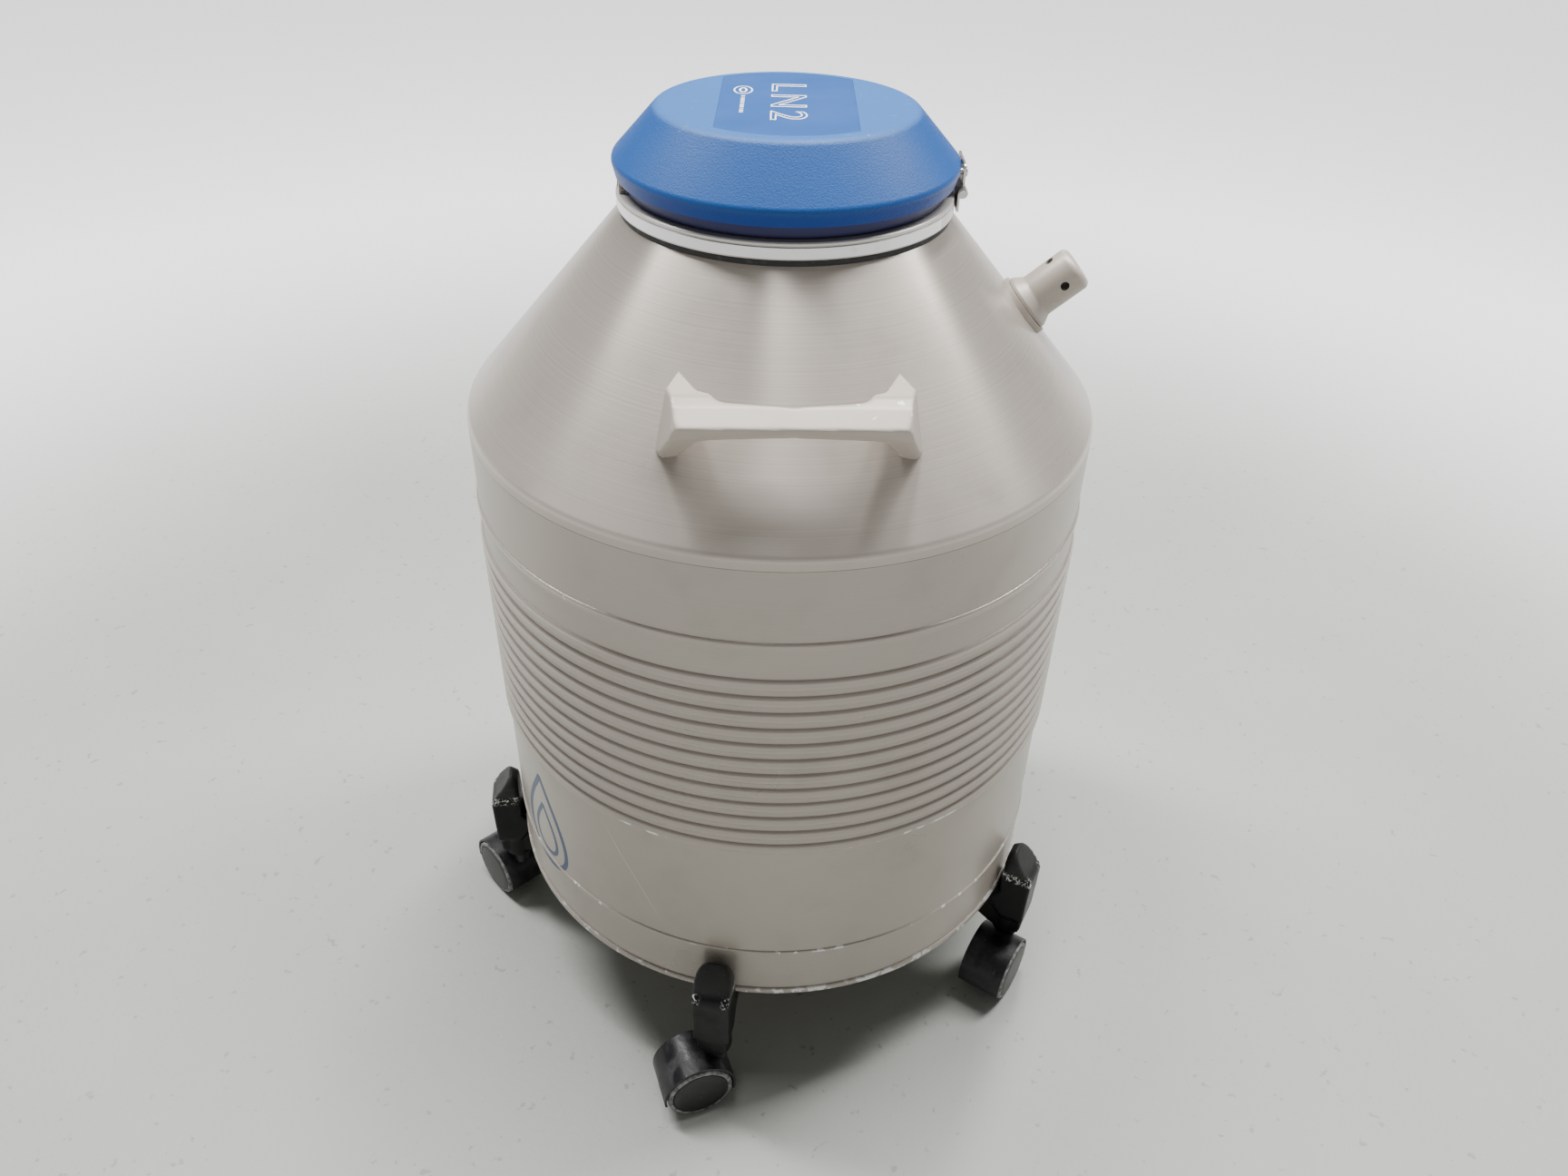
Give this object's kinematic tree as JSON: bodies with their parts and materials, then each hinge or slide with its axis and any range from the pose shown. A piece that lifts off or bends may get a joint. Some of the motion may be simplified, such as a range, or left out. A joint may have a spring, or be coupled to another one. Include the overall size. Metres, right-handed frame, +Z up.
{
  "type": "liquid nitrogen dewar",
  "caption": "Vacuum-insulated liquid nitrogen storage dewar with hinged lid, lift-out canisters, carrying handles and a roller base on swivel casters.",
  "frame": {"origin": "centre of the flat underside of the roller base's hub, on the vessel's axis", "axes": "+Z up along the vessel's axis; the lid hinge is on the +X side and the hasp on the -X side; one carrying handle faces -Y"},
  "size_m": [0.5491, 0.5633, 0.7693],
  "materials": {
    "painted_aluminium": "satin light warm grey paint over spun aluminium",
    "lid_plastic": "fine grained blue moulded plastic",
    "skirt_plastic": "smooth navy moulded plastic",
    "label_film": "satin blue printed film",
    "ring_aluminium": "turned aluminium",
    "bracket_steel": "brushed stainless steel",
    "gasket_rubber": "matt black rubber",
    "neck_fibreglass": "glass-fibre and resin tube",
    "foam": "closed-cell foam",
    "inner_aluminium": "mill finish aluminium",
    "insulation": "aluminised film and paper wraps",
    "adsorbent_bag": "charcoal in woven bag",
    "canister_steel": "thin stainless steel",
    "base_plastic": "black glass-filled nylon",
    "caster_plastic": "black nylon with dusty wear",
    "axle_steel": "zinc plated steel"
  },
  "bodies": {
    "roller_base": {"base_hub": "base_plastic", "base_arm_1": "base_plastic", "base_arm_2": "base_plastic", "base_arm_3": "base_plastic", "base_arm_4": "base_plastic", "base_arm_5": "base_plastic", "arm_screws": "axle_steel", "caster_stems": "axle_steel"},
    "vessel": {"drum": "painted_aluminium", "upper_head": "painted_aluminium", "bottom_head": "painted_aluminium", "neck_tube": "neck_fibreglass", "inner_vessel": "inner_aluminium", "insulation_blanket": "insulation", "adsorbent_pack": "adsorbent_bag", "canister_spider": "inner_aluminium", "neck_ring": "ring_aluminium", "index_ring": "ring_aluminium", "neck_gasket": "gasket_rubber", "handle_front": "painted_aluminium", "handle_rear": "painted_aluminium", "vacuum_port": "painted_aluminium", "hinge_bracket": "bracket_steel", "hinge_pin": "bracket_steel", "hasp_bracket": "bracket_steel"},
    "lid": {"lid_cover": "lid_plastic", "lid_skirt": "skirt_plastic", "foam_core": "foam", "label_plate": "label_film", "lid_rivets": "bracket_steel", "hinge_leaf": "bracket_steel"},
    "vacuum_cap": {"vacuum_cap": "painted_aluminium"},
    "vacuum_plug": {"vacuum_plug": "inner_aluminium", "plug_o_ring": "gasket_rubber"},
    "canister_1": {"canister_1": "canister_steel"},
    "canister_2": {"canister_2": "canister_steel"},
    "canister_3": {"canister_3": "canister_steel"},
    "canister_4": {"canister_4": "canister_steel"},
    "canister_5": {"canister_5": "canister_steel"},
    "canister_6": {"canister_6": "canister_steel"},
    "caster_1": {"caster_1_hood": "caster_plastic", "caster_1_axle": "axle_steel"},
    "caster_1_wheel_a": {"caster_1_wheel_a": "caster_plastic"},
    "caster_1_wheel_b": {"caster_1_wheel_b": "caster_plastic"},
    "caster_2": {"caster_2_hood": "caster_plastic", "caster_2_axle": "axle_steel"},
    "caster_2_wheel_a": {"caster_2_wheel_a": "caster_plastic"},
    "caster_2_wheel_b": {"caster_2_wheel_b": "caster_plastic"},
    "caster_3": {"caster_3_hood": "caster_plastic", "caster_3_axle": "axle_steel"},
    "caster_3_wheel_a": {"caster_3_wheel_a": "caster_plastic"},
    "caster_3_wheel_b": {"caster_3_wheel_b": "caster_plastic"},
    "caster_4": {"caster_4_hood": "caster_plastic", "caster_4_axle": "axle_steel"},
    "caster_4_wheel_a": {"caster_4_wheel_a": "caster_plastic"},
    "caster_4_wheel_b": {"caster_4_wheel_b": "caster_plastic"},
    "caster_5": {"caster_5_hood": "caster_plastic", "caster_5_axle": "axle_steel"},
    "caster_5_wheel_a": {"caster_5_wheel_a": "caster_plastic"},
    "caster_5_wheel_b": {"caster_5_wheel_b": "caster_plastic"}
  },
  "joints": [
    {"name": "vessel_lift", "type": "slide", "parent": "roller_base", "child": "vessel", "axis": [0, 0, 1], "range_m": [0, 0.12]},
    {"name": "lid_swing", "type": "hinge", "parent": "vessel", "child": "lid", "pos_m": [0.122, 0, 0.631], "axis": [0, 1, 0], "range_deg": [0, 100]},
    {"name": "vacuum_cap_pull", "type": "slide", "parent": "vessel", "child": "vacuum_cap", "axis": [0.754, 0, 0.6568], "range_m": [0, 0.06]},
    {"name": "vacuum_plug_lift", "type": "slide", "parent": "vessel", "child": "vacuum_plug", "axis": [0.754, 0, 0.6568], "range_m": [0, 0.01]},
    {"name": "canister_1_lift", "type": "slide", "parent": "vessel", "child": "canister_1", "axis": [0, 0, 1], "range_m": [0, 0.02]},
    {"name": "canister_2_lift", "type": "slide", "parent": "vessel", "child": "canister_2", "axis": [0, 0, 1], "range_m": [0, 0.02]},
    {"name": "canister_3_lift", "type": "slide", "parent": "vessel", "child": "canister_3", "axis": [0, 0, 1], "range_m": [0, 0.02]},
    {"name": "canister_4_lift", "type": "slide", "parent": "vessel", "child": "canister_4", "axis": [0, 0, 1], "range_m": [0, 0.02]},
    {"name": "canister_5_lift", "type": "slide", "parent": "vessel", "child": "canister_5", "axis": [0, 0, 1], "range_m": [0, 0.02]},
    {"name": "canister_6_lift", "type": "slide", "parent": "vessel", "child": "canister_6", "axis": [0, 0, 1], "range_m": [0, 0.02]},
    {"name": "caster_1_swivel", "type": "hinge", "parent": "roller_base", "child": "caster_1", "pos_m": [-0.04323, -0.25029, -0.035], "axis": [0, 0, 1], "continuous": true},
    {"name": "caster_1_roll_a", "type": "hinge", "parent": "caster_1", "child": "caster_1_wheel_a", "pos_m": [-0.06203, -0.25713, -0.0575], "axis": [0.342, -0.9397, 0], "continuous": true},
    {"name": "caster_1_roll_b", "type": "hinge", "parent": "caster_1", "child": "caster_1_wheel_b", "pos_m": [-0.06203, -0.25713, -0.0575], "axis": [0.342, -0.9397, 0], "continuous": true},
    {"name": "caster_2_swivel", "type": "hinge", "parent": "roller_base", "child": "caster_2", "pos_m": [0.22468, -0.11846, -0.035], "axis": [0, 0, 1], "continuous": true},
    {"name": "caster_2_roll_a", "type": "hinge", "parent": "caster_2", "child": "caster_2_wheel_a", "pos_m": [0.21379, -0.13524, -0.0575], "axis": [0.8387, -0.5446, 0], "continuous": true},
    {"name": "caster_2_roll_b", "type": "hinge", "parent": "caster_2", "child": "caster_2_wheel_b", "pos_m": [0.21379, -0.13524, -0.0575], "axis": [0.8387, -0.5446, 0], "continuous": true},
    {"name": "caster_3_swivel", "type": "hinge", "parent": "roller_base", "child": "caster_3", "pos_m": [0.1821, 0.17708, -0.035], "axis": [0, 0, 1], "continuous": true},
    {"name": "caster_3_roll_a", "type": "hinge", "parent": "caster_3", "child": "caster_3_wheel_a", "pos_m": [0.20089, 0.18392, -0.0575], "axis": [-0.342, 0.9397, 0], "continuous": true},
    {"name": "caster_3_roll_b", "type": "hinge", "parent": "caster_3", "child": "caster_3_wheel_b", "pos_m": [0.20089, 0.18392, -0.0575], "axis": [-0.342, 0.9397, 0], "continuous": true},
    {"name": "caster_4_swivel", "type": "hinge", "parent": "roller_base", "child": "caster_4", "pos_m": [-0.11214, 0.2279, -0.035], "axis": [0, 0, 1], "continuous": true},
    {"name": "caster_4_roll_a", "type": "hinge", "parent": "caster_4", "child": "caster_4_wheel_a", "pos_m": [-0.12746, 0.24076, -0.0575], "axis": [-0.6428, -0.766, 0], "continuous": true},
    {"name": "caster_4_roll_b", "type": "hinge", "parent": "caster_4", "child": "caster_4_wheel_b", "pos_m": [-0.12746, 0.24076, -0.0575], "axis": [-0.6428, -0.766, 0], "continuous": true},
    {"name": "caster_5_swivel", "type": "hinge", "parent": "roller_base", "child": "caster_5", "pos_m": [-0.2514, -0.03623, -0.035], "axis": [0, 0, 1], "continuous": true},
    {"name": "caster_5_roll_a", "type": "hinge", "parent": "caster_5", "child": "caster_5_wheel_a", "pos_m": [-0.26504, -0.0216, -0.0575], "axis": [-0.7314, -0.682, 0], "continuous": true},
    {"name": "caster_5_roll_b", "type": "hinge", "parent": "caster_5", "child": "caster_5_wheel_b", "pos_m": [-0.26504, -0.0216, -0.0575], "axis": [-0.7314, -0.682, 0], "continuous": true}
  ]
}
